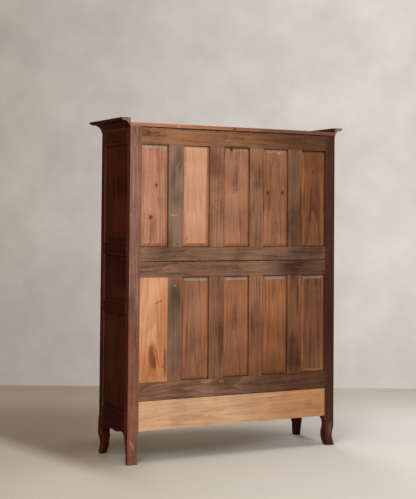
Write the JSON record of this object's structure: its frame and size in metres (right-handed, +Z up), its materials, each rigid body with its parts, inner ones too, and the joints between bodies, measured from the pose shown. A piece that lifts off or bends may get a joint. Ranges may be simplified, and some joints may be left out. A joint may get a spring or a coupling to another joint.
{
  "type": "armoire",
  "caption": "Tall panelled wooden armoire with two hinged doors, framed five-bay back, scalloped aprons, cabriole feet and a crown cornice.",
  "frame": {"origin": "on the floor under the middle of the overall box", "axes": "+Z up, -Y towards the doors, +Y towards the framed back, +X to the right of someone facing the doors"},
  "size_m": [1.654, 0.522, 2.15],
  "materials": {
    "dark_walnut": "wax-polished dark walnut",
    "post_walnut": "worn, bare walnut",
    "grey_oak": "aged grey-brown oak, unfinished",
    "old_panel_wood": "old pine panel, unfinished",
    "new_panel": "newer pine panel, planed",
    "new_pine": "newer pale pine board, planed",
    "roof_pine": "sawn pine board",
    "inner_oak": "plain unfinished oak",
    "peg_oak": "dark oak end grain",
    "iron": "wrought iron, dark and rubbed",
    "brass": "aged brass sheet"
  },
  "bodies": {
    "carcass": {"back_base_board": "new_pine", "back_bottom_rail": "grey_oak", "back_middle_rail_lower": "grey_oak", "back_middle_rail_upper": "grey_oak", "back_muntins": "grey_oak", "back_panel_lower_1": "old_panel_wood", "back_panel_lower_2": "old_panel_wood", "back_panel_lower_3": "old_panel_wood", "back_panel_lower_4": "old_panel_wood", "back_panel_lower_5": "new_panel", "back_panel_upper_1": "old_panel_wood", "back_panel_upper_2": "old_panel_wood", "back_panel_upper_3": "old_panel_wood", "back_panel_upper_4": "old_panel_wood", "back_panel_upper_5": "old_panel_wood", "back_post_left": "post_walnut", "back_post_right": "post_walnut", "back_top_rail": "grey_oak", "centre_mullion": "dark_walnut", "cornice_front": "dark_walnut", "cornice_left": "dark_walnut", "cornice_right": "dark_walnut", "floor_boards": "inner_oak", "frame_pegs": "peg_oak", "front_apron_rail": "dark_walnut", "front_post_left": "dark_walnut", "front_post_right": "dark_walnut", "front_top_rail": "dark_walnut", "hinge_pintles": "iron", "roof_boards": "roof_pine", "shelf_cleats": "inner_oak", "shelf_lower": "inner_oak", "shelf_middle": "inner_oak", "shelf_upper": "inner_oak", "side_apron_rail_left": "dark_walnut", "side_apron_rail_right": "dark_walnut", "side_panels_left": "dark_walnut", "side_panels_right": "dark_walnut", "side_rails_left": "dark_walnut", "side_rails_right": "dark_walnut"},
    "left_door": {"left_door_bolt_guides": "iron", "left_door_escutcheon": "brass", "left_door_hinge_barrels": "iron", "left_door_hinge_stile": "dark_walnut", "left_door_meeting_stile": "dark_walnut", "left_door_panels": "dark_walnut", "left_door_rails": "dark_walnut", "left_door_top_rail": "dark_walnut"},
    "right_door": {"right_door_escutcheon": "brass", "right_door_hinge_barrels": "iron", "right_door_hinge_stile": "dark_walnut", "right_door_lock_case": "iron", "right_door_meeting_stile": "dark_walnut", "right_door_panels": "dark_walnut", "right_door_rails": "dark_walnut", "right_door_top_rail": "dark_walnut"},
    "left_top_bolt": {"left_door_top_bolt": "iron"},
    "left_bottom_bolt": {"left_door_bottom_bolt": "iron"},
    "lock_bolt": {"right_door_lock_bolt": "iron"},
    "key": {"right_door_key": "iron"}
  },
  "joints": [
    {"name": "left_door_hinge", "type": "hinge", "parent": "carcass", "child": "left_door", "pos_m": [-0.7035, -0.207, 1.1], "axis": [0, 0, -1], "range_deg": [0, 170]},
    {"name": "right_door_hinge", "type": "hinge", "parent": "carcass", "child": "right_door", "pos_m": [0.7035, -0.207, 1.1], "axis": [0, 0, 1], "range_deg": [0, 170]},
    {"name": "top_bolt_slide", "type": "slide", "parent": "left_door", "child": "left_top_bolt", "axis": [0, 0, 1], "range_m": [0, 0.018]},
    {"name": "bottom_bolt_slide", "type": "slide", "parent": "left_door", "child": "left_bottom_bolt", "axis": [0, 0, -1], "range_m": [0, 0.018]},
    {"name": "key_turn", "type": "hinge", "parent": "right_door", "child": "key", "pos_m": [0.071, -0.2075, 1.094], "axis": [0, 1, 0], "range_deg": [0, 360]},
    {"name": "lock_bolt_slide", "type": "slide", "parent": "right_door", "child": "lock_bolt", "axis": [-1, 0, 0], "range_m": [0, 0.014]}
  ],
  "couplings": [
    {"joint": "key_turn", "follows": "lock_bolt_slide", "rad_per_m": 448.79}
  ]
}
